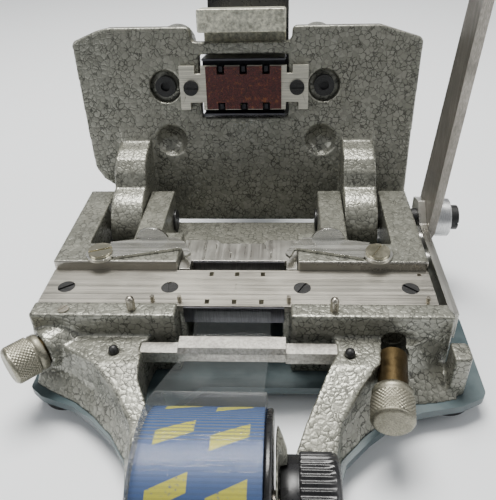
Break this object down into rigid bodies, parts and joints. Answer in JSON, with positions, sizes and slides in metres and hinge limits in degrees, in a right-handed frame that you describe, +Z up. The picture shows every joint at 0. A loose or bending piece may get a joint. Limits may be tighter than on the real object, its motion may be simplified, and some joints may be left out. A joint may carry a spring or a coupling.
{
  "type": "film tape splicer",
  "caption": "Guillotine tape splicer for sprocketed film: cast base with film track and pins, hinged punching head, tape roll, tape hold-down levers and a swinging film cutter.",
  "frame": {"origin": "centre of the whole model's box, on the plane that the rubber feet stand on", "axes": "+X to the operator's right along the film's run, +Y away from the operator, +Z up"},
  "size_m": [0.1352, 0.1986, 0.1496],
  "materials": {
    "hammertone": "grey-green hammered enamel on die castings",
    "plate_enamel": "smooth blue-grey enamel",
    "rubber": "matt rubber",
    "brushed_steel": "fine brushing along the film's run",
    "black_screws": "blackened steel",
    "pin_steel": "ground steel",
    "polished_steel": "polished spring steel",
    "blade_steel": "hardened steel",
    "cast_bare": "bare, lightly tumbled casting",
    "ground_steel": "ground steel",
    "cork": "reddish granular pad",
    "black_plastic": "moulded black plastic",
    "spring_steel": "spring wire",
    "lever_steel": "darkened steel bar",
    "aluminium": "turned aluminium",
    "brass_dark": "tarnished brass",
    "nickel": "worn nickel plate, knurled",
    "core_print": "blue card core with a yellow pattern",
    "clear_tape": "clear adhesive tape"
  },
  "bodies": {
    "base": {"bar_pins": "black_screws", "bar_spacers": "aluminium", "base_casting": "hammertone", "base_plate": "plate_enamel", "film_track": "brushed_steel", "fixed_cutter_bar": "brushed_steel", "front_fixed_blade": "blade_steel", "guide_pins": "pin_steel", "hinge_pins": "black_screws", "pivot_bolt": "black_screws", "pivot_sleeve": "aluminium", "rail_screw": "pin_steel", "rear_fixed_blade": "blade_steel", "rear_register_pin": "pin_steel", "rear_tape_plate": "brushed_steel", "register_pins": "pin_steel", "rubber_feet": "rubber", "side_lever_screws": "polished_steel", "spool_axle": "pin_steel", "spool_bolt": "pin_steel", "spool_bracket": "hammertone", "tape_bar": "cast_bare", "tape_strip": "clear_tape", "track_screws": "black_screws"},
    "head": {"head_casting": "hammertone", "guide_towers": "hammertone", "guide_bolts": "black_screws"},
    "press": {"press_block": "cast_bare", "tape_clamp_lip": "cast_bare", "press_handle": "black_plastic", "handle_screws": "black_screws", "punches": "blade_steel", "front_blade": "blade_steel", "rear_blade": "blade_steel", "blade_screws": "black_screws", "return_springs": "spring_steel"},
    "pressure_pad": {"pressure_plate": "ground_steel", "cork_pad": "cork", "pressure_plate_screws": "black_screws"},
    "cutter": {"cutter_lever": "lever_steel", "lever_grip": "black_plastic"},
    "left_lever": {"left_side_lever": "polished_steel"},
    "right_lever": {"right_side_lever": "polished_steel"},
    "left_stop": {"left_plunger": "brass_dark", "left_knob": "nickel"},
    "right_stop": {"right_plunger": "brass_dark", "right_knob": "nickel"},
    "roll": {"tape_core": "core_print", "tape_winding": "clear_tape", "spool_hub": "black_plastic"},
    "drag_knob": {"spool_knob": "black_plastic"}
  },
  "joints": [
    {"name": "head_hinge", "type": "hinge", "parent": "base", "child": "head", "pos_m": [-0.00439, 0.03181, 0.0216], "axis": [1, 0, 0], "range_deg": [0, 100]},
    {"name": "press_slide", "type": "slide", "parent": "head", "child": "press", "axis": [0, -0.9848, 0.1736], "range_m": [0, 0.0045], "stiffness_N_per_m": 900, "springref_m": -0.006, "deforming": ["tape_strip"]},
    {"name": "pad_slide", "type": "slide", "parent": "head", "child": "pressure_pad", "axis": [0, -0.9848, 0.1736], "range_m": [0, 0.0025], "stiffness_N_per_m": 60, "springref_m": -0.002},
    {"name": "cutter_hinge", "type": "hinge", "parent": "base", "child": "cutter", "pos_m": [0.05663, 0.02641, 0.0264], "axis": [1, 0, 0], "range_deg": [-5, 75]},
    {"name": "left_lever_hinge", "type": "hinge", "parent": "base", "child": "left_lever", "pos_m": [-0.04599, -0.00149, 0.0308], "axis": [0, 0, 1], "range_deg": [0, 5]},
    {"name": "right_lever_hinge", "type": "hinge", "parent": "base", "child": "right_lever", "pos_m": [0.03721, -0.00149, 0.0308], "axis": [0, 0, -1], "range_deg": [0, 5]},
    {"name": "left_stop_slide", "type": "slide", "parent": "base", "child": "left_stop", "axis": [-0.7071, -0.7071, 0], "range_m": [0, 0.006]},
    {"name": "right_stop_slide", "type": "slide", "parent": "base", "child": "right_stop", "axis": [-0.1392, -0.9903, 0], "range_m": [0, 0.005]},
    {"name": "roll_spin", "type": "hinge", "parent": "base", "child": "roll", "pos_m": [-0.00439, -0.07879, 0.0295], "axis": [1, 0, 0], "continuous": true},
    {"name": "drag_knob_spin", "type": "hinge", "parent": "base", "child": "drag_knob", "pos_m": [0.01251, -0.07879, 0.0295], "axis": [1, 0, 0], "continuous": true}
  ],
  "couplings": [
    {"joint": "pad_slide", "follows": "press_slide", "ratio": 0.55}
  ]
}
